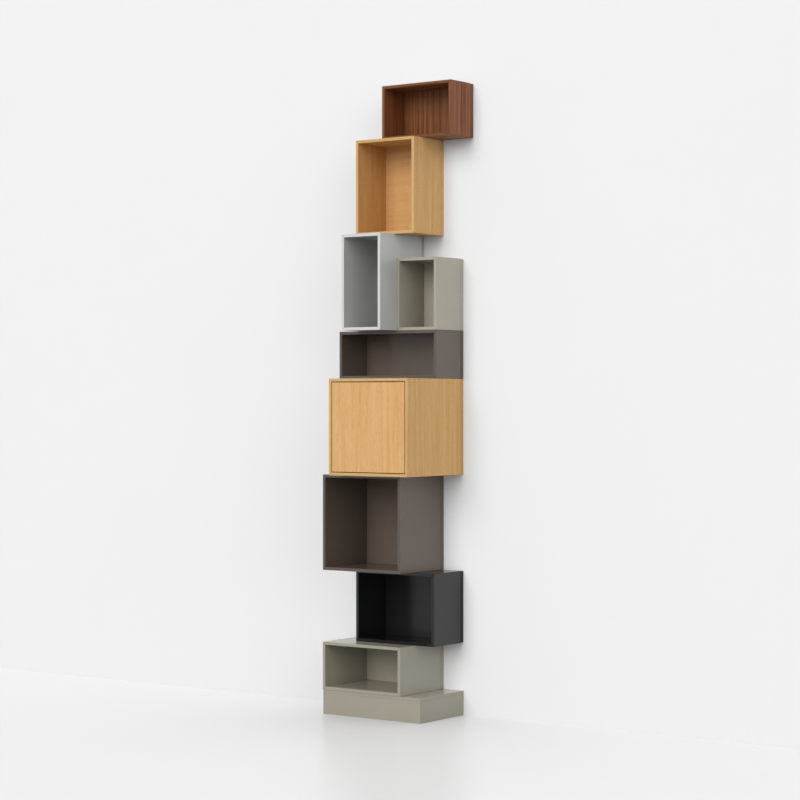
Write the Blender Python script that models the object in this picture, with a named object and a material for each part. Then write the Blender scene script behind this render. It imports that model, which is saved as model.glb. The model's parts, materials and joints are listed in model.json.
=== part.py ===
"""A shelving tower: nine storage boxes stacked on a plinth against a wall, one of them with a door.

Metres, X along the wall, Y towards the wall and Z up. The origin is on the floor, in the middle of
the plan. The backs of all the boxes lie in one plane, which is the wall's.
"""

import math
from dataclasses import dataclass

import bmesh
import bpy
from mathutils import Vector

NAME = "shelving_tower"

# Boards and joints, the same in every box
BOARD = 0.0125
BACK_BOARD = 0.022
BACK_SET_IN = 0.001
GROOVE_WIDTH = 0.002
GROOVE_DEPTH = 0.003
SEAT = 0.0003

# Plinth
PLINTH_WIDTH = 0.500
PLINTH_DEPTH = 0.3115
PLINTH_HEIGHT = 0.103

# Low box on the plinth
BASE_WIDTH = 0.400
BASE_DEPTH = 0.315
BASE_HEIGHT = 0.200

# Black box. A shift is how far a box stands to the right of the one that carries it
BLACK_WIDTH = 0.400
BLACK_DEPTH = 0.216
BLACK_HEIGHT = 0.300
BLACK_SHIFT = 0.100

# Large taupe box
TAUPE_WIDTH = 0.400
TAUPE_DEPTH = 0.3145
TAUPE_HEIGHT = 0.400
TAUPE_SHIFT = -0.100

# Cabinet, the oak box with the door
CABINET_WIDTH = 0.400
CABINET_DEPTH = 0.402
CABINET_HEIGHT = 0.400
CABINET_SHIFT = 0.100

# Wide low box
WIDE_WIDTH = 0.500
WIDE_DEPTH = 0.200
WIDE_HEIGHT = 0.200
WIDE_SHIFT = -0.100

# Tall narrow box
TALL_WIDTH = 0.200
TALL_DEPTH = 0.3165
TALL_HEIGHT = 0.400
TALL_SHIFT = 0.100

# Small box beside the tall one
SMALL_WIDTH = 0.200
SMALL_DEPTH = 0.200
SMALL_HEIGHT = 0.300

# Oak box on the tall one
OAK_WIDTH = 0.300
OAK_DEPTH = 0.2175
OAK_HEIGHT = 0.400

# Walnut box at the top
WALNUT_WIDTH = 0.352
WALNUT_DEPTH = 0.1655
WALNUT_HEIGHT = 0.226
WALNUT_SHIFT = 0.098

# Door, set into its box with its front flush
DOOR_THICKNESS = 0.016
DOOR_GAP = 0.0035

# Pivot hinge: a pin in the door's edge, turning in a bush in the box
PIVOT_INSET = 0.016
PIN_RADIUS = 0.0025
PIN_IN_DOOR = 0.020
BUSH_RADIUS = 0.0045
BUSH_FLOOR = 0.001
WOOD_BEHIND_BUSH = 0.004

# Push latch under the top panel, behind the door's free side
LATCH_WIDTH = 0.016
LATCH_HEIGHT = 0.014
LATCH_LENGTH = 0.060
LATCH_INSET = 0.030
PLUNGER_RADIUS = 0.004
PLUNGER_LENGTH = 0.030
PRESS_TRAVEL = 0.003

ROUND_SEGMENTS = 32

# Finishes: colour as 8-bit sRGB, roughness, metallic
FINISHES = {
    "stone_lacquer": ((160, 155, 140), 0.5, 0.0),
    "black_lacquer": ((48, 48, 50), 0.45, 0.0),
    "taupe_lacquer": ((112, 103, 96), 0.5, 0.0),
    "light_grey_lacquer": ((205, 208, 206), 0.5, 0.0),
    "oak_veneer": ((210, 165, 112), 0.5, 0.0),
    "walnut_veneer": ((122, 78, 56), 0.5, 0.0),
    "steel": ((180, 182, 185), 0.3, 1.0),
    "grey_plastic": ((150, 150, 148), 0.5, 0.0),
}


@dataclass
class Module:
    """A box or the plinth, as the space that it takes up on the wall."""

    name: str
    finish: str
    left: float
    floor: float
    width: float
    depth: float
    height: float

    @property
    def right(self):
        return self.left + self.width

    @property
    def top(self):
        return self.floor + self.height


def on_top(carrier, name, finish, width, depth, height, shift=0.0):
    """A box that stands on another module, shifted to the right of its left side."""
    return Module(name, finish, carrier.left + shift, carrier.top, width, depth, height)


PLINTH = Module("plinth", "stone_lacquer", 0.0, 0.0, PLINTH_WIDTH, PLINTH_DEPTH, PLINTH_HEIGHT)
BASE = on_top(PLINTH, "base_box", "stone_lacquer", BASE_WIDTH, BASE_DEPTH, BASE_HEIGHT)
BLACK = on_top(BASE, "black_box", "black_lacquer", BLACK_WIDTH, BLACK_DEPTH, BLACK_HEIGHT, BLACK_SHIFT)
TAUPE = on_top(BLACK, "taupe_box", "taupe_lacquer", TAUPE_WIDTH, TAUPE_DEPTH, TAUPE_HEIGHT, TAUPE_SHIFT)
CABINET = on_top(
    TAUPE, "cabinet", "oak_veneer", CABINET_WIDTH, CABINET_DEPTH, CABINET_HEIGHT, CABINET_SHIFT
)
WIDE = on_top(CABINET, "wide_box", "taupe_lacquer", WIDE_WIDTH, WIDE_DEPTH, WIDE_HEIGHT, WIDE_SHIFT)
TALL = on_top(WIDE, "tall_box", "light_grey_lacquer", TALL_WIDTH, TALL_DEPTH, TALL_HEIGHT, TALL_SHIFT)
SMALL = Module("small_box", "stone_lacquer", TALL.right, WIDE.top, SMALL_WIDTH, SMALL_DEPTH, SMALL_HEIGHT)
OAK_FLOOR = max(TALL.top, SMALL.top)
OAK = Module("oak_box", "oak_veneer", TALL.left, OAK_FLOOR, OAK_WIDTH, OAK_DEPTH, OAK_HEIGHT)
WALNUT = on_top(
    OAK, "walnut_box", "walnut_veneer", WALNUT_WIDTH, WALNUT_DEPTH, WALNUT_HEIGHT, WALNUT_SHIFT
)
BOXES = (BASE, BLACK, TAUPE, CABINET, WIDE, TALL, SMALL, OAK, WALNUT)

# The plan's middle is the origin, so the wall plane lies half the greatest depth behind it
MODULES = (PLINTH,) + BOXES
MIDDLE_X = (min(module.left for module in MODULES) + max(module.right for module in MODULES) - SEAT) / 2
WALL_Y = max(module.depth for module in MODULES) / 2

# The cabinet's own frame starts at its lower left corner, on the wall plane
OPENING_WIDTH = CABINET.width - SEAT - 2 * BOARD
OPENING_HEIGHT = CABINET.height - SEAT - 2 * BOARD
DOOR_WIDTH = OPENING_WIDTH - 2 * DOOR_GAP
DOOR_HEIGHT = OPENING_HEIGHT - 2 * DOOR_GAP
HINGE_X = BOARD + DOOR_GAP + PIVOT_INSET
HINGE_Y = DOOR_THICKNESS / 2 - CABINET.depth
BUSH_LENGTH = BOARD - WOOD_BEHIND_BUSH
PIN_IN_BUSH = BUSH_LENGTH - BUSH_FLOOR - SEAT
PLUNGER_Y = DOOR_THICKNESS + SEAT - CABINET.depth
PLUNGER_REACH = PRESS_TRAVEL + SEAT


def clear_scene():
    """Removes every object of the open file."""
    for item in list(bpy.data.objects):
        bpy.data.objects.remove(item, do_unlink=True)


def new_collection(name):
    """A fresh collection under the scene's own."""
    bpy.context.scene.collection.children.link(bpy.data.collections.new(name))


def linear(value):
    """An 8-bit sRGB value as linear light."""
    share = value / 255
    if share <= 0.04045:
        return share / 12.92
    return ((share + 0.055) / 1.055) ** 2.4


def new_material(name, finish):
    """The sub-part's own material, in one of the finishes."""
    colour, roughness, metallic = FINISHES[finish]
    material = bpy.data.materials.new(name)
    material.use_nodes = True
    shader = material.node_tree.nodes["Principled BSDF"]
    shader.inputs["Base Color"].default_value = (*(linear(value) for value in colour), 1.0)
    shader.inputs["Roughness"].default_value = roughness
    shader.inputs["Metallic"].default_value = metallic
    return material


def new_part(name, shape, finish, parent, location, rotation=(0.0, 0.0, 0.0)):
    """A sub-part with the given mesh, placed in its parent's frame."""
    mesh = bpy.data.meshes.new(name)
    shape.to_mesh(mesh)
    shape.free()
    mesh.materials.append(new_material(name, finish))
    part = bpy.data.objects.new(name, mesh)
    part.parent = parent
    part.location = location
    part.rotation_euler = rotation
    bpy.data.collections[NAME].objects.link(part)
    return part


def new_frame(name, location, parent=None):
    """An empty that carries the parts of one module or of one moving body."""
    frame = bpy.data.objects.new(name, None)
    frame.parent = parent
    frame.location = location
    bpy.data.collections[NAME].objects.link(frame)
    return frame


def block(width, depth, height):
    """A plain board or block, centred on its origin."""
    shape = bmesh.new()
    bmesh.ops.create_cube(shape, size=1.0)
    bmesh.ops.scale(shape, vec=(width, depth, height), verts=shape.verts)
    return shape


def mitred_board(length, depth):
    """A board with both ends cut at 45 degrees, on top of its outer face, which is centred on the origin."""
    setback = SEAT / 2 * math.sqrt(2)
    shape = bmesh.new()
    bmesh.ops.create_cube(shape, size=1.0)
    for corner in shape.verts:
        inner = corner.co.z > 0
        half_length = length / 2 - setback - (BOARD if inner else 0.0)
        corner.co.x = math.copysign(half_length, corner.co.x)
        corner.co.y *= depth
        corner.co.z = BOARD if inner else 0.0
    return shape


def grooved_back(width, height):
    """A back board whose front edges are cut back, which leaves a narrow groove behind the box's sides."""
    shape = block(width, BACK_BOARD - GROOVE_WIDTH, height)
    front = min(shape.faces, key=lambda face: face.calc_center_median().y)
    bmesh.ops.inset_region(shape, faces=[front], thickness=GROOVE_DEPTH)
    raised = bmesh.ops.extrude_discrete_faces(shape, faces=[front])["faces"][0]
    bmesh.ops.translate(shape, vec=(0.0, -GROOVE_WIDTH, 0.0), verts=raised.verts)
    return shape


def rod(radius, length):
    """A round bar along Z, centred on its origin."""
    shape = bmesh.new()
    bmesh.ops.create_cone(
        shape, cap_ends=True, segments=ROUND_SEGMENTS, radius1=radius, radius2=radius, depth=length
    )
    return shape


def round_off(part):
    """Shades the round walls smooth and keeps the rims sharp."""
    part.data.shade_smooth()
    part.data.set_sharp_from_angle(angle=math.radians(40))


def drill(part, name, radius, depth, parent, mouth, rotation=(0.0, 0.0, 0.0)):
    """Cuts a round hole into a part. The cutter stands half out of the hole, centred on its mouth."""
    mesh = bpy.data.meshes.new(name)
    shape = rod(radius, 2 * depth)
    shape.to_mesh(mesh)
    shape.free()
    cutter = bpy.data.objects.new(name, mesh)
    cutter.parent = parent
    cutter.location = mouth
    cutter.rotation_euler = rotation
    cutter.hide_render = True
    cutter.display_type = "WIRE"
    bpy.data.collections["cutters"].objects.link(cutter)
    cut = part.modifiers.new(name, "BOOLEAN")
    cut.operation = "DIFFERENCE"
    cut.object = cutter


def module_frame(module):
    """The empty at a module's lower left corner, on the wall plane."""
    return new_frame(module.name, (module.left - MIDDLE_X, WALL_Y, module.floor))


def build_plinth(module):
    """Four upright boards, mitred at the corners, with a top board lying on them."""
    frame = module_frame(module)
    width = module.width - SEAT
    top_level = module.height - SEAT - BOARD
    wall_height = top_level - SEAT
    middle = Vector((width / 2, -module.depth / 2, wall_height / 2))
    sides = (
        ("front_board", width, (0.0, -module.depth / 2), 0.0),
        ("right_board", module.depth, (width / 2, 0.0), math.pi / 2),
        ("back_board", width, (0.0, module.depth / 2), math.pi),
        ("left_board", module.depth, (-width / 2, 0.0), -math.pi / 2),
    )
    for side, length, (along, across), turn in sides:
        new_part(
            f"{module.name}_{side}",
            mitred_board(length, wall_height),
            module.finish,
            frame,
            middle + Vector((along, across, 0.0)),
            (-math.pi / 2, 0.0, turn),
        )
    new_part(
        f"{module.name}_top_board",
        block(width, module.depth, BOARD),
        module.finish,
        frame,
        (width / 2, -module.depth / 2, top_level + BOARD / 2),
    )


def build_box(module):
    """Four boards round the front opening, mitred at the corners, with a back board behind them."""
    frame = module_frame(module)
    width = module.width - SEAT
    height = module.height - SEAT
    length = module.depth - BACK_BOARD - SEAT
    middle = Vector((width / 2, -module.depth + length / 2, height / 2))
    sides = (
        ("bottom_panel", width, (0.0, -height / 2), 0.0),
        ("left_side", height, (-width / 2, 0.0), math.pi / 2),
        ("top_panel", width, (0.0, height / 2), math.pi),
        ("right_side", height, (width / 2, 0.0), -math.pi / 2),
    )
    boards = {}
    for side, reach, (along, up), turn in sides:
        boards[side] = new_part(
            f"{module.name}_{side}",
            mitred_board(reach, length),
            module.finish,
            frame,
            middle + Vector((along, 0.0, up)),
            (0.0, turn, 0.0),
        )
    new_part(
        f"{module.name}_back_board",
        grooved_back(width - 2 * BACK_SET_IN, height - 2 * BACK_SET_IN),
        module.finish,
        frame,
        (width / 2, (GROOVE_WIDTH - BACK_BOARD) / 2, height / 2),
    )
    return frame, boards


def build_hinge_bush(name, frame, panel, mouth, inward):
    """A blind bush let into a panel of the box, with its mouth level with the panel's inner face."""
    drill(panel, f"{name}_seat", BUSH_RADIUS + SEAT, BUSH_LENGTH + SEAT, frame, mouth)
    bush = new_part(name, rod(BUSH_RADIUS, BUSH_LENGTH), "steel", frame, mouth - inward * BUSH_LENGTH / 2)
    drill(bush, f"{name}_bore", PIN_RADIUS + SEAT, BUSH_LENGTH - BUSH_FLOOR, frame, mouth)
    round_off(bush)


def build_door(frame):
    """The door and its two pivot pins, on an empty that stands on the hinge's axis."""
    bottom = BOARD + DOOR_GAP
    hinge = new_frame("door_hinge", (HINGE_X, HINGE_Y, bottom), frame)
    middle = Vector((DOOR_WIDTH / 2 - PIVOT_INSET, 0.0, DOOR_HEIGHT / 2))
    door = new_part("door_panel", block(DOOR_WIDTH, DOOR_THICKNESS, DOOR_HEIGHT), "oak_veneer", hinge, middle)
    pin_length = PIN_IN_DOOR + DOOR_GAP + PIN_IN_BUSH
    for end, edge, outward in (("lower", 0.0, -1.0), ("upper", DOOR_HEIGHT, 1.0)):
        name = f"door_{end}_pivot_pin"
        centre = edge + outward * (DOOR_GAP + PIN_IN_BUSH - PIN_IN_DOOR) / 2
        pin = new_part(name, rod(PIN_RADIUS, pin_length), "steel", hinge, (0.0, 0.0, centre))
        round_off(pin)
        drill(door, f"{name}_socket", PIN_RADIUS + SEAT, PIN_IN_DOOR + SEAT, hinge, (0.0, 0.0, edge))


def build_latch(frame):
    """The push latch: a housing under the top panel and a sprung plunger that meets the door's back."""
    axis_x = CABINET.width - SEAT - BOARD - LATCH_INSET
    axis_z = CABINET.height - SEAT - BOARD - SEAT - LATCH_HEIGHT / 2
    lying = (math.pi / 2, 0.0, 0.0)
    housing_front = PLUNGER_Y + PLUNGER_REACH
    housing = new_part(
        "latch_housing",
        block(LATCH_WIDTH, LATCH_LENGTH, LATCH_HEIGHT),
        "grey_plastic",
        frame,
        (axis_x, housing_front + LATCH_LENGTH / 2, axis_z),
    )
    bore_depth = PLUNGER_LENGTH - PLUNGER_REACH + PRESS_TRAVEL + SEAT
    bore_mouth = (axis_x, housing_front, axis_z)
    drill(housing, "latch_bore", PLUNGER_RADIUS + SEAT, bore_depth, frame, bore_mouth, lying)
    slide = new_frame("latch_slide", (axis_x, PLUNGER_Y, axis_z), frame)
    plunger = new_part(
        "latch_plunger",
        rod(PLUNGER_RADIUS, PLUNGER_LENGTH),
        "grey_plastic",
        slide,
        (0.0, PLUNGER_LENGTH / 2, 0.0),
        lying,
    )
    round_off(plunger)


def build_cabinet(module):
    """The box whose front is closed by a door on pivots, held shut by a push latch."""
    frame, boards = build_box(module)
    up = Vector((0.0, 0.0, 1.0))
    floor_level = Vector((HINGE_X, HINGE_Y, BOARD))
    ceiling_level = floor_level + up * OPENING_HEIGHT
    build_hinge_bush("door_lower_bush", frame, boards["bottom_panel"], floor_level, up)
    build_hinge_bush("door_upper_bush", frame, boards["top_panel"], ceiling_level, -up)
    build_door(frame)
    build_latch(frame)


def main():
    clear_scene()
    new_collection(NAME)
    new_collection("cutters")
    build_plinth(PLINTH)
    for module in BOXES:
        if module is CABINET:
            build_cabinet(module)
        else:
            build_box(module)


main()
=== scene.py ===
"""The finished look of the shelving tower: lacquered and veneered boards, studio floor, wall and light."""

import json
import math

import bpy
from mathutils import Euler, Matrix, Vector


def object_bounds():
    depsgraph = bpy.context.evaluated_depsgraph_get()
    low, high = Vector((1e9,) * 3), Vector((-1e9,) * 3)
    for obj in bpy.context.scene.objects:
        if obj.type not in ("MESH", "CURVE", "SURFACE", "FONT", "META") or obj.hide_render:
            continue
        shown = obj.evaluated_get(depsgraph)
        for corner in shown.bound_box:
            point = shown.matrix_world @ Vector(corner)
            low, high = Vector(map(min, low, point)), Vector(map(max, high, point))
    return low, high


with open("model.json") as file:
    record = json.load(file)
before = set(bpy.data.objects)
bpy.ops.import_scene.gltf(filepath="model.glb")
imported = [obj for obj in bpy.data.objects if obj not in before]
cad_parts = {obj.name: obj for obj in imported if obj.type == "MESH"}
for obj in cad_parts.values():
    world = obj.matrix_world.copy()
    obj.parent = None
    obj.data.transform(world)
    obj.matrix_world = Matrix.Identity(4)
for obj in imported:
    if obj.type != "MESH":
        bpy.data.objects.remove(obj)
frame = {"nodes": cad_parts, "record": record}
cad_low, cad_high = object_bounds()


def linear(value):
    """An 8-bit sRGB value as linear light."""
    share = value / 255
    if share <= 0.04045:
        return share / 12.92
    return ((share + 0.055) / 1.055) ** 2.4


def colour(red, green, blue):
    """An 8-bit sRGB colour as a shader colour."""
    return (linear(red), linear(green), linear(blue), 1.0)


# The photograph's viewpoint: level, from the front right
CAMERA_PLACE = (5.4491, -7.4336, 1.3143)
CAMERA_TURN = math.radians(36.03)
CAMERA_LENS = 99.77
SENSOR_WIDTH = 36.0

# Stage: its reach, and how far the wall stands in front of the boxes' rear plane
STAGE_REACH = 30.0
WALL_SINK = 0.001
STAGE_MOTTLE = (1.5, 1.5, 1.5)
STAGE_DARKEST = 0.995
STAGE_ROUGHNESS = 0.3
FLOOR_SPECULAR = 0.06
WALL_SPECULAR = 0.0
BACKGROUND = (0.88, 0.88, 0.88)
WALL_COLOUR = (0.87, 0.87, 0.87)
FLOOR_COLOUR = (0.745, 0.745, 0.745)
REAR_FLOOR_COLOUR = (0.85, 0.85, 0.85)

# The grey that the floor and the boards' outer faces throw on what is near them
FLOOR_BOUNCE = (0.30, 0.30, 0.30)
BOARD_BOUNCE = (0.33, 0.33, 0.33)

# Light: a name, the compass angle that it comes from (0 is the front, 90 the right), its height and
# its width in degrees, and the share of full white that it gives a surface facing it
SKY_STRENGTH = 0.37
LAMPS = (
    ("key", 0, 24, 38, 0.50),
    ("fill", 0, 8, 38, 0.10),
    ("side", 60, 18, 40, 0.23),
    ("upper", -100, 60, 60, 0.235),
    ("rear", 180, 60, 60, 0.20),
)

# Broken edges of the boards and fittings, in metres
ARRIS = 0.0008
PLINTH_ARRIS = 0.0003
ARRIS_SEGMENTS = 2
ARRIS_ANGLE = math.radians(40)
WELD_DISTANCE = 0.00001

# Noise: how fine its layers go, and the range of its values that a colour follows
BROAD_DETAIL = 3.0
MIDDLE_DETAIL = 2.0
FINE_DETAIL = 1.0
NOISE_ROUGHNESS = 0.5
NOISE_LOW = 0.3
NOISE_MIDDLE = 0.5
NOISE_HIGH = 0.7

# The share of a face's normal that lies along a direction, where the face counts as facing that way
FACING_Y = 0.7
FACING_OUT = 0.5

# Lacquer: patterns as waves per metre, relief as a strength and a depth
LACQUER_MOTTLE = (6.0, 6.0, 6.0)
LACQUER_DARKEST = 0.97
LACQUER_LIGHTEST = 1.03
LACQUER_CLOUDS = (25.0, 25.0, 25.0)
LACQUER_ROUGHNESS = (0.19, 0.24)
LACQUER_PEEL = (900.0, 900.0, 900.0)
LACQUER_RELIEF = (0.05, 0.0003)
LACQUER_SPECULAR = 0.5
DULL_SPECULAR = 0.33
DULL_BOARDS = ("black_box_back_board", "black_box_bottom_panel", "wide_box_back_board")

# Veneer: patterns as waves per metre, twice across the grain and then along it
STREAKS_ALONG = 2.0
STREAK_ROUGHNESS = 0.6
FIBRES = (900.0, 900.0, 20.0)
FIBRE_TINTS = ((0.35, (0.94, 0.88, 0.78, 1.0)), (0.65, (1.03, 1.05, 1.10, 1.0)))
PORES = (1600.0, 1600.0, 60.0)
PORE_TINTS = ((0.30, (0.70, 0.55, 0.40, 1.0)), (0.38, (1.0, 1.0, 1.0, 1.0)))
PORE_STRENGTH = 0.7
PORE_RELIEF = (0.10, 0.0002)
VENEER_ROUGHNESS = (0.60, 0.45)
VENEER_SPECULAR = 0.3

# How far apart neighbouring boards lie in the wood, and how the wood is turned to run up or along
VENEER_STEP = (0.37, 0.61, 0.83)
UPRIGHT_GRAIN = (0.0, 0.0, 0.0)
LYING_GRAIN = (0.0, math.pi / 2, 0.0)
LYING_BOARDS = ("top_panel", "bottom_panel", "oak_box_back_board")

# Wood shades: dark, middle and light. The paler sets carry painted light: lighter shades for the door and
# for the oak and walnut back boards, standing in for the light on them
OAK_SHADES = (colour(190, 144, 81), colour(203, 161, 104), colour(214, 174, 122))
OAK_SHADES_PAINTED_LIGHTER = (colour(206, 157, 96), colour(217, 173, 117), colour(225, 185, 134))
WALNUT_SHADES = (colour(97, 47, 8), colour(126, 76, 42), colour(141, 92, 62))
WALNUT_SHADES_PAINTED_LIGHTER = (colour(99, 52, 12), colour(129, 83, 54), colour(144, 98, 73))

# Shades, streak width and softness of the figure, for single boards and then for each veneer
FIGURES = {
    # The door and these back boards take the paler shades, which carry painted light
    "door_panel": (OAK_SHADES_PAINTED_LIGHTER, 0.016, 0.60),
    "oak_box_back_board": (OAK_SHADES_PAINTED_LIGHTER, 0.016, 1.10),
    "walnut_box_right_side": (WALNUT_SHADES, 0.012, 0.28),
    "walnut_box_back_board": (WALNUT_SHADES_PAINTED_LIGHTER, 0.009, 0.40),
    "oak_veneer": (OAK_SHADES, 0.016, 0.75),
    "walnut_veneer": (WALNUT_SHADES, 0.008, 0.55),
}

# Lacquer colours by box
LACQUERS = {
    "plinth": colour(156, 151, 136),
    "base_box": colour(156, 151, 136),
    "black_box": colour(21, 21, 21),
    "taupe_box": colour(96, 85, 76),
    "wide_box": colour(96, 85, 76),
    "tall_box": colour(188, 189, 186),
    "small_box": colour(166, 161, 147),
}
BOXES = (*LACQUERS, "cabinet", "oak_box", "walnut_box")

# Painted light: how much lighter some back boards are painted than the rest of their boxes, standing in
# for more light inside
NO_PAINTED_LIGHT = 1.0
BACK_BOARD_PAINTED_LIGHT = {
    "black_box": 1.50,
    "taupe_box": 1.22,
    "wide_box": 1.20,
    "base_box": 1.16,
    "small_box": 1.14,
}

# Painted light and shade on the front edges of each box's boards: some lighter, some darker than the
# board, standing in for light and sheen
UNPAINTED_EDGE = (1.0, 1.0, 1.0)
FRONT_EDGE_PAINTED_LIGHT_AND_SHADE = {
    "black_box": (0.25, 0.25, 0.25),
    "taupe_box": (0.80, 0.80, 0.80),
    "wide_box": (0.85, 0.85, 0.85),
    "tall_box": (1.27, 1.27, 1.27),
    "cabinet": (1.06, 1.14, 1.26),
    "oak_box": (1.06, 1.14, 1.26),
    "walnut_box": (0.87, 1.00, 1.28),
}

# Painted shade on the narrow edges of each box's back board, for the shade where it meets the wall, and
# painted light on those of the door, for the light in the gaps round it
BACK_EDGE_PAINTED_SHADE = (0.74, 0.74, 0.74)
BACK_EDGE_PAINTED_SHADES = {
    "cabinet": (0.88, 0.88, 0.88),
    "oak_box": (0.88, 0.88, 0.88),
    "small_box": (0.88, 0.88, 0.88),
    "base_box": (0.80, 0.80, 0.80),
}
DOOR_EDGE_PAINTED_LIGHT = (1.18, 1.14, 1.02)

# Which way each kind of board faces outwards
OUTWARD = {
    "left_side": (-1.0, 0.0, 0.0),
    "right_side": (1.0, 0.0, 0.0),
    "top_panel": (0.0, 0.0, 1.0),
    "bottom_panel": (0.0, 0.0, -1.0),
    "back_board": (0.0, 1.0, 0.0),
    "door_panel": (0.0, -1.0, 0.0),
    "front_board": (0.0, -1.0, 0.0),
    "left_board": (-1.0, 0.0, 0.0),
    "right_board": (1.0, 0.0, 0.0),
    "top_board": (0.0, 0.0, 1.0),
}

# Darkened steel of the pivots, turned in fine rings
STEEL = colour(92, 84, 74)
STEEL_RINGS = (200.0, 200.0, 8000.0)
STEEL_LIGHTEST = 1.4
STEEL_ROUGHNESS = (0.22, 0.38)

# Plastic of the latch
PLASTIC = colour(150, 150, 148)
PLASTIC_GRAIN = (3000.0, 3000.0, 3000.0)
PLASTIC_LIGHTEST = 1.06
PLASTIC_ROUGHNESS = 0.5
PLASTIC_RELIEF = (0.15, 0.0001)


def scaled(shade, factor):
    """A colour made lighter or darker."""
    return tuple(factor * part for part in shade[:3]) + (1.0,)


def add(tree, kind, inputs=None, **settings):
    """Adds a node, sets its fields, and fills its named inputs with values or with links from sockets."""
    made = tree.nodes.new(kind)
    for field, value in settings.items():
        setattr(made, field, value)
    for name, value in (inputs or {}).items():
        if isinstance(value, bpy.types.NodeSocket):
            tree.links.new(value, made.inputs[name])
        else:
            made.inputs[name].default_value = value
    return made


def new_material(name):
    """A node material: itself, its tree, its shader and the coordinates of the object's own space."""
    material = bpy.data.materials.new(name)
    material.use_nodes = True
    tree = material.node_tree
    place = add(tree, "ShaderNodeTexCoord").outputs["Object"]
    return material, tree, tree.nodes["Principled BSDF"], place


def ramp(tree, factor, stops):
    """A colour ramp through (place, colour) stops."""
    made = add(tree, "ShaderNodeValToRGB", {"Fac": factor})
    points = made.color_ramp.elements
    while len(points) < len(stops):
        points.new(NOISE_MIDDLE)
    for point, (place, shade) in zip(points, stops):
        point.position = place
        point.color = shade
    return made.outputs["Color"]


def between(tree, factor, low, high):
    """Runs from one colour to another through the middle of a noise's range."""
    return ramp(tree, factor, ((NOISE_LOW, low), (NOISE_HIGH, high)))


def noise(tree, place, scale, detail=MIDDLE_DETAIL, roughness=NOISE_ROUGHNESS):
    """Noise from stretched coordinates, between 0 and 1."""
    stretched = add(tree, "ShaderNodeMapping", {"Vector": place, "Scale": scale}).outputs["Vector"]
    made = add(
        tree,
        "ShaderNodeTexNoise",
        {"Vector": stretched, "Scale": 1.0, "Detail": detail, "Roughness": roughness},
    )
    return made.outputs["Fac"]


def blend(tree, kind, factor, first, second):
    """Mixes two colours."""
    made = add(tree, "ShaderNodeMix", data_type="RGBA", blend_type=kind)
    for name, value in (("Factor", factor), ("A", first), ("B", second)):
        socket = next(s for s in made.inputs if s.name == name and s.enabled)
        if isinstance(value, bpy.types.NodeSocket):
            tree.links.new(value, socket)
        else:
            socket.default_value = value
    return next(s for s in made.outputs if s.enabled)


def calculate(tree, operation, first, second):
    """The result of a sum, a comparison or the like."""
    return add(tree, "ShaderNodeMath", {0: first, 1: second}, operation=operation).outputs["Value"]


def set_sheen(tree, shader, factor, roughness):
    """Lets the roughness follow a noise from one value to another."""
    start, end = roughness
    sheen = add(tree, "ShaderNodeMapRange", {"Value": factor, "To Min": start, "To Max": end})
    tree.links.new(sheen.outputs["Result"], shader.inputs["Roughness"])


def set_relief(tree, shader, height, relief):
    """Lets the surface rise and fall with a noise."""
    strength, depth = relief
    bump = add(tree, "ShaderNodeBump", {"Height": height, "Strength": strength, "Distance": depth})
    tree.links.new(bump.outputs["Normal"], shader.inputs["Normal"])


def paint_edge_light_and_shade(tree, shade, edges, edge_light_and_shade):
    """Paints light and shade on some edges of a board: the front one, or the four narrow ones of a back
    board or the door.
    """
    normal = add(tree, "ShaderNodeTexCoord").outputs["Normal"]
    facing = add(tree, "ShaderNodeSeparateXYZ", {"Vector": normal}).outputs["Y"]
    limit = -FACING_Y
    if edges == "narrow":
        facing = add(tree, "ShaderNodeMath", {0: facing}, operation="ABSOLUTE").outputs["Value"]
        limit = FACING_Y
    edge = calculate(tree, "LESS_THAN", facing, limit)
    return blend(tree, "MULTIPLY", edge, shade, edge_light_and_shade + (1.0,))


def throw_grey(tree, shade, outward):
    """Lets a board's outer face throw plain grey on the wall and on its neighbours, as its sheen would."""
    normal = add(tree, "ShaderNodeTexCoord").outputs["Normal"]
    along = add(
        tree, "ShaderNodeVectorMath", {0: normal, 1: outward}, operation="DOT_PRODUCT"
    ).outputs["Value"]
    outside = calculate(tree, "GREATER_THAN", along, FACING_OUT)
    bounced = add(tree, "ShaderNodeLightPath").outputs["Is Diffuse Ray"]
    thrown = calculate(tree, "MULTIPLY", outside, bounced)
    return blend(tree, "MIX", thrown, shade, BOARD_BOUNCE + (1.0,))


def lacquer(name, shade, edges, edge_light_and_shade, outward, specular):
    """Sprayed satin lacquer on fibreboard: an even colour with a faint mottle and orange peel."""
    material, tree, shader, place = new_material(name)
    mottle = noise(tree, place, LACQUER_MOTTLE, detail=BROAD_DETAIL)
    sprayed = between(tree, mottle, scaled(shade, LACQUER_DARKEST), scaled(shade, LACQUER_LIGHTEST))
    # The board's edges get painted light and shade
    painted = throw_grey(tree, paint_edge_light_and_shade(tree, sprayed, edges, edge_light_and_shade), outward)
    tree.links.new(painted, shader.inputs["Base Color"])
    set_sheen(tree, shader, noise(tree, place, LACQUER_CLOUDS), LACQUER_ROUGHNESS)
    shader.inputs["Specular IOR Level"].default_value = specular
    set_relief(tree, shader, noise(tree, place, LACQUER_PEEL, detail=FINE_DETAIL), LACQUER_RELIEF)
    return material


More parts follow.
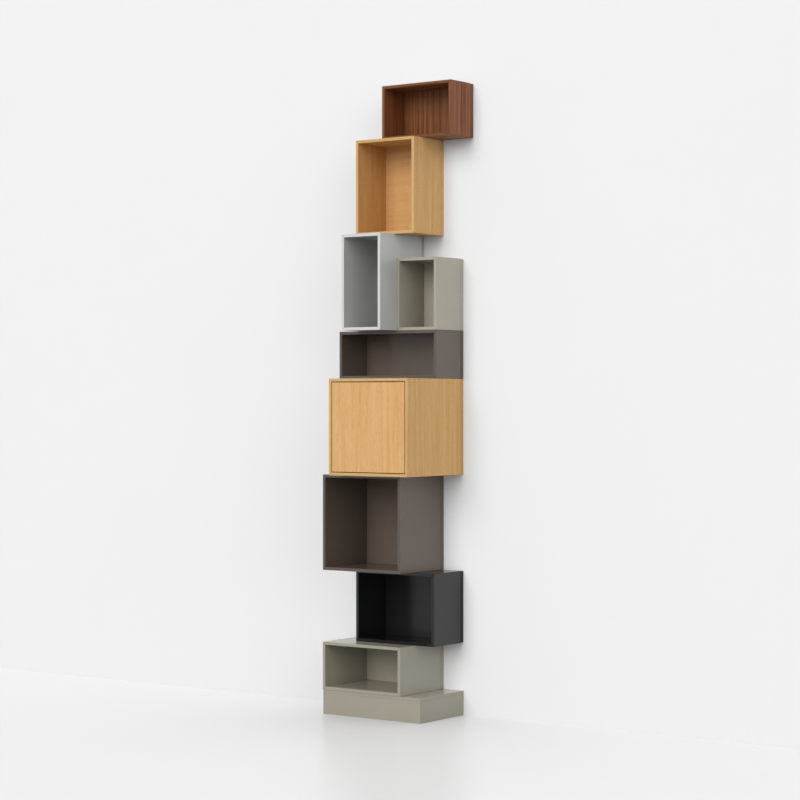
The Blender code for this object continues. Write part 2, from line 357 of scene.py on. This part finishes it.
def veneer(name, turn, shift, shades, streak_width, softness, edges, edge_light_and_shade, outward):
    """Wood veneer: streaks, fibres and pores drawn out along the grain."""
    dark, middle, light = shades
    material, tree, shader, place = new_material(name)
    turned = add(
        tree, "ShaderNodeMapping", {"Vector": place, "Rotation": turn, "Location": shift}
    ).outputs["Vector"]
    across = 1 / streak_width
    drawn_out = (across, across, STREAKS_ALONG)
    streaks = noise(tree, turned, drawn_out, detail=BROAD_DETAIL, roughness=STREAK_ROUGHNESS)
    fibres = noise(tree, turned, FIBRES)
    pores = noise(tree, turned, PORES, detail=FINE_DETAIL)
    start = NOISE_MIDDLE - softness / 2
    end = NOISE_MIDDLE + softness / 2
    wood = ramp(tree, streaks, ((start, dark), (NOISE_MIDDLE, middle), (end, light)))
    wood = blend(tree, "MULTIPLY", 1.0, wood, ramp(tree, fibres, FIBRE_TINTS))
    wood = blend(tree, "MULTIPLY", PORE_STRENGTH, wood, ramp(tree, pores, PORE_TINTS))
    # The board's edges get painted light and shade
    wood = throw_grey(tree, paint_edge_light_and_shade(tree, wood, edges, edge_light_and_shade), outward)
    tree.links.new(wood, shader.inputs["Base Color"])
    set_sheen(tree, shader, fibres, VENEER_ROUGHNESS)
    shader.inputs["Specular IOR Level"].default_value = VENEER_SPECULAR
    set_relief(tree, shader, pores, PORE_RELIEF)
    return material


def steel(name):
    """Turned and darkened steel, with fine rings round its axis."""
    material, tree, shader, place = new_material(name)
    rings = noise(tree, place, STEEL_RINGS, detail=FINE_DETAIL)
    turned = between(tree, rings, STEEL, scaled(STEEL, STEEL_LIGHTEST))
    tree.links.new(turned, shader.inputs["Base Color"])
    shader.inputs["Metallic"].default_value = 1.0
    set_sheen(tree, shader, rings, STEEL_ROUGHNESS)
    return material


def plastic(name):
    """Moulded plastic with a fine spark-eroded grain."""
    material, tree, shader, place = new_material(name)
    grain = noise(tree, place, PLASTIC_GRAIN, detail=FINE_DETAIL)
    moulded = between(tree, grain, PLASTIC, scaled(PLASTIC, PLASTIC_LIGHTEST))
    tree.links.new(moulded, shader.inputs["Base Color"])
    shader.inputs["Roughness"].default_value = PLASTIC_ROUGHNESS
    set_relief(tree, shader, grain, PLASTIC_RELIEF)
    return material


def edges_with_painted_light(node, box):
    """Which edges of a board get painted light and shade, and how much."""
    if node == "door_panel":
        return "narrow", DOOR_EDGE_PAINTED_LIGHT
    if node.endswith("back_board"):
        return "narrow", BACK_EDGE_PAINTED_SHADES.get(box, BACK_EDGE_PAINTED_SHADE)
    return "front", FRONT_EDGE_PAINTED_LIGHT_AND_SHADE.get(box, UNPAINTED_EDGE)


def finish_for(node, slot, number):
    """The material of one node. Every veneered board has its own stretch of veneer."""
    if slot == "steel":
        return steel(f"{node}_steel")
    if slot == "grey_plastic":
        return plastic(f"{node}_plastic")
    box = next((name for name in BOXES if node.startswith(name)), "")
    edges, edge_light_and_shade = edges_with_painted_light(node, box)
    outward = next(way for ending, way in OUTWARD.items() if node.endswith(ending))
    if box in LACQUERS:
        specular = DULL_SPECULAR if node in DULL_BOARDS else LACQUER_SPECULAR
        # Some back boards are painted lighter: painted light on the insides of their boxes
        back_painted_light = BACK_BOARD_PAINTED_LIGHT.get(box, NO_PAINTED_LIGHT) if node.endswith("box_back_board") else NO_PAINTED_LIGHT
        return lacquer(f"{node}_{slot}", scaled(LACQUERS[box], back_painted_light), edges, edge_light_and_shade, outward, specular)
    turn = LYING_GRAIN if node.endswith(LYING_BOARDS) else UPRIGHT_GRAIN
    shift = tuple(step * number for step in VENEER_STEP)
    shades, streak_width, softness = FIGURES.get(node, FIGURES[slot])
    return veneer(f"{node}_{slot}", turn, shift, shades, streak_width, softness, edges, edge_light_and_shade, outward)


def dress_nodes():
    """Gives every board and fitting its finish and finely broken edges."""
    for number, part in enumerate(frame["record"]["subparts"]):
        node = frame["nodes"][part["node"]]
        node.data.materials.clear()
        node.data.materials.append(finish_for(part["node"], part["material_slot"], number))
        weld = node.modifiers.new("weld", "WELD")
        weld.merge_threshold = WELD_DISTANCE
        arris = node.modifiers.new("arris", "BEVEL")
        arris.width = PLINTH_ARRIS if part["node"].startswith("plinth") else ARRIS
        arris.segments = ARRIS_SEGMENTS
        arris.limit_method = "ANGLE"
        arris.angle_limit = ARRIS_ANGLE


def make_camera():
    """The photograph's viewpoint."""
    camera = bpy.data.objects.new("camera", bpy.data.cameras.new("camera"))
    camera.data.lens = CAMERA_LENS
    camera.data.sensor_width = SENSOR_WIDTH
    camera.location = CAMERA_PLACE
    camera.rotation_euler = (math.pi / 2, 0.0, CAMERA_TURN)
    bpy.context.scene.collection.objects.link(camera)
    bpy.context.scene.camera = camera


def plain_surface(name, shade, bounce, specular):
    """A studio surface with a faint mottle; what it throws back at the object is its bounce colour."""
    material, tree, shader, place = new_material(name)
    mottle = noise(tree, place, STAGE_MOTTLE, detail=BROAD_DETAIL)
    painted = between(tree, mottle, scaled(shade, STAGE_DARKEST), shade + (1.0,))
    bounced = add(tree, "ShaderNodeLightPath").outputs["Is Diffuse Ray"]
    tree.links.new(blend(tree, "MIX", bounced, painted, bounce + (1.0,)), shader.inputs["Base Color"])
    shader.inputs["Roughness"].default_value = STAGE_ROUGHNESS
    shader.inputs["Specular IOR Level"].default_value = specular
    return material


def show_front_only(material):
    """Makes a surface clear when it is seen from behind."""
    tree = material.node_tree
    behind = add(tree, "ShaderNodeNewGeometry").outputs["Backfacing"]
    clear = add(tree, "ShaderNodeBsdfTransparent").outputs["BSDF"]
    side = add(tree, "ShaderNodeMixShader", {"Fac": behind})
    tree.links.new(tree.nodes["Principled BSDF"].outputs["BSDF"], side.inputs[1])
    tree.links.new(clear, side.inputs[2])
    tree.links.new(side.outputs["Shader"], tree.nodes["Material Output"].inputs["Surface"])


def stage_plane(name, material, place, turn):
    """A large flat stage surface."""
    bpy.ops.mesh.primitive_plane_add(size=2 * STAGE_REACH, location=place, rotation=turn)
    plane = bpy.context.active_object
    plane.name = name
    plane.data.materials.append(material)
    return plane


def make_stage():
    """A pale floor in two halves, and between them a pale wall that shows only from its front.

    The wall casts no shadow. The rear half of the floor is lighter, as the wall throws no light on it.
    """
    wall_place = cad_high.y - WALL_SINK
    floor = plain_surface("floor", FLOOR_COLOUR, FLOOR_BOUNCE, FLOOR_SPECULAR)
    stage_plane("floor", floor, (0.0, wall_place - STAGE_REACH, 0.0), (0.0, 0.0, 0.0))
    rear_floor = plain_surface("rear_floor", REAR_FLOOR_COLOUR, FLOOR_BOUNCE, FLOOR_SPECULAR)
    stage_plane("rear_floor", rear_floor, (0.0, wall_place + STAGE_REACH, 0.0), (0.0, 0.0, 0.0))
    wall = plain_surface("wall", WALL_COLOUR, WALL_COLOUR, WALL_SPECULAR)
    show_front_only(wall)
    backdrop = stage_plane("wall", wall, (0.0, wall_place, 0.0), (math.pi / 2, 0.0, 0.0))
    backdrop.visible_shadow = False


def make_world():
    """Even light from all round; the camera and mirror-like surfaces see the pale background."""
    world = bpy.data.worlds.new("studio")
    bpy.context.scene.world = world
    world.use_nodes = True
    tree = world.node_tree
    tree.nodes.clear()
    path = add(tree, "ShaderNodeLightPath").outputs
    seen = calculate(tree, "MAXIMUM", path["Is Camera Ray"], path["Is Glossy Ray"])
    seen = calculate(tree, "MAXIMUM", seen, path["Is Transmission Ray"])
    backdrop = add(tree, "ShaderNodeBackground", {"Color": BACKGROUND + (1.0,), "Strength": 1.0})
    sky = add(tree, "ShaderNodeBackground", {"Color": (1.0, 1.0, 1.0, 1.0), "Strength": SKY_STRENGTH})
    choice = add(tree, "ShaderNodeMixShader", {"Fac": seen})
    tree.links.new(sky.outputs["Background"], choice.inputs[1])
    tree.links.new(backdrop.outputs["Background"], choice.inputs[2])
    output = add(tree, "ShaderNodeOutputWorld")
    tree.links.new(choice.outputs["Shader"], output.inputs["Surface"])


def make_lamps():
    """Broad soft lamps, far away. They show in no reflection, and the wall holds none of them back."""
    for name, compass, height, width, share in LAMPS:
        lamp = bpy.data.objects.new(name, bpy.data.lights.new(name, "SUN"))
        lamp.data.energy = share * math.pi
        lamp.data.angle = math.radians(width)
        along = Vector((0.0, 1.0, 0.0))
        along.rotate(Euler((math.radians(-height), 0.0, 0.0)))
        along.rotate(Euler((0.0, 0.0, math.radians(compass))))
        lamp.visible_glossy = False
        lamp.rotation_mode = "QUATERNION"
        lamp.rotation_quaternion = along.to_track_quat("-Z", "Y")
        bpy.context.scene.collection.objects.link(lamp)


make_camera()
dress_nodes()
make_stage()
make_world()
make_lamps()
bpy.context.scene.view_settings.view_transform = "Standard"
